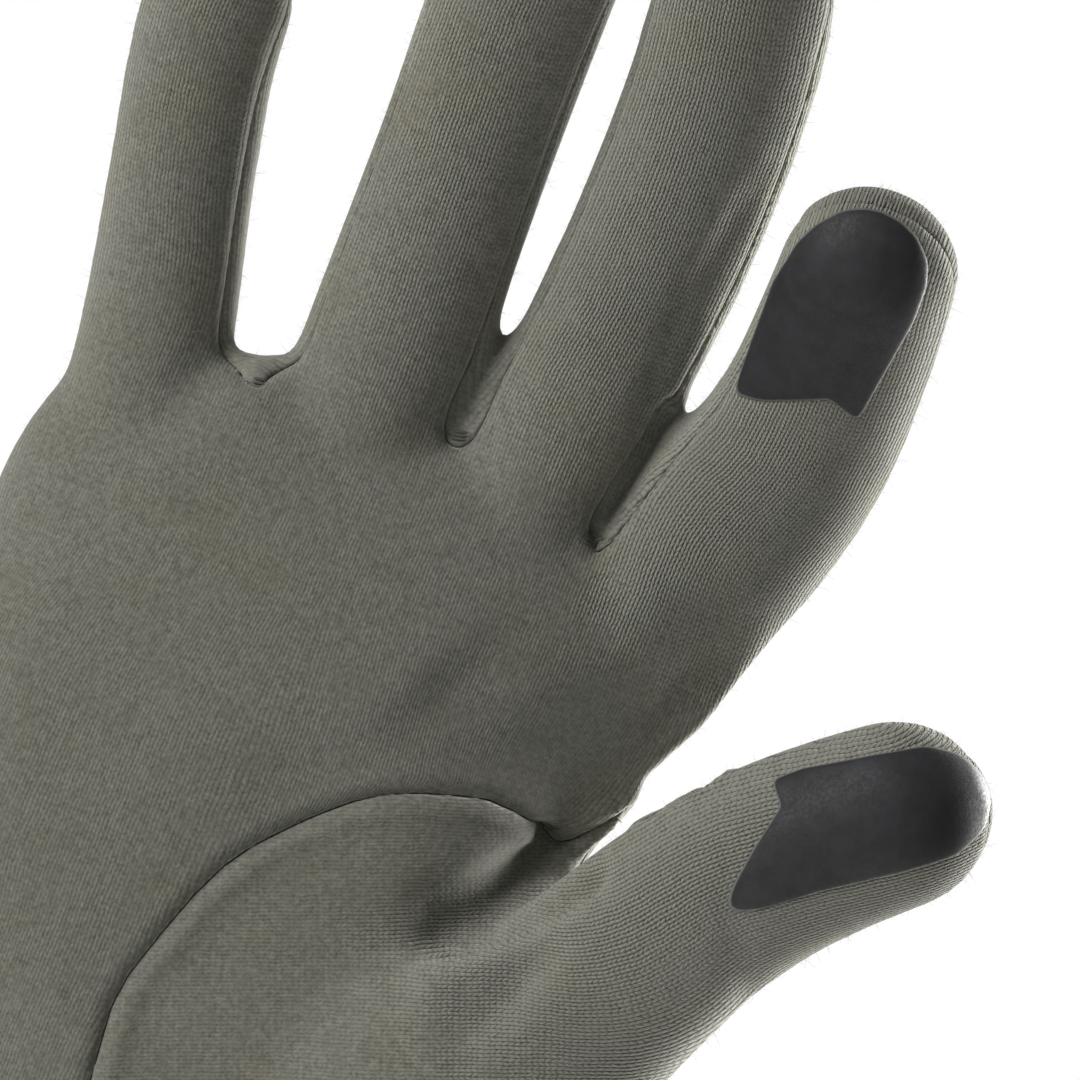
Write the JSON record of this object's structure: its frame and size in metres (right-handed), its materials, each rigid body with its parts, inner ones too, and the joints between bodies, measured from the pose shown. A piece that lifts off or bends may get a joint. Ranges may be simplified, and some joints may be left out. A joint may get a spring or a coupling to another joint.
{
  "type": "glove liner",
  "caption": "Right-hand knitted glove liner in the form of a worn hand, hollow and open at the wrist, with smooth touch patches on index finger and thumb.",
  "frame": {"origin": "centre of the wrist opening, at the lower edge of the hem", "axes": "+Z from the wrist opening to the fingertips, -Y out of the palm, +X towards the thumb side"},
  "size_m": [0.127, 0.0713, 0.227],
  "materials": {
    "knit_cloth": "fine jersey knit, grey olive, slightly fuzzy",
    "knit_strip": "fine jersey knit, grey olive, smooth side strips",
    "knit_hem": "fine jersey knit turned hem",
    "touch_patch": "smooth matte black coated patch"
  },
  "bodies": {
    "root": {"palm_panel": "knit_cloth", "back_panel": "knit_cloth", "thumb_piece": "knit_cloth", "fourchette_index_middle": "knit_strip", "fourchette_middle_ring": "knit_strip", "fourchette_ring_little": "knit_strip", "index_touch_patch": "touch_patch", "thumb_touch_patch": "touch_patch", "cuff_hem": "knit_hem"}
  },
  "joints": []
}
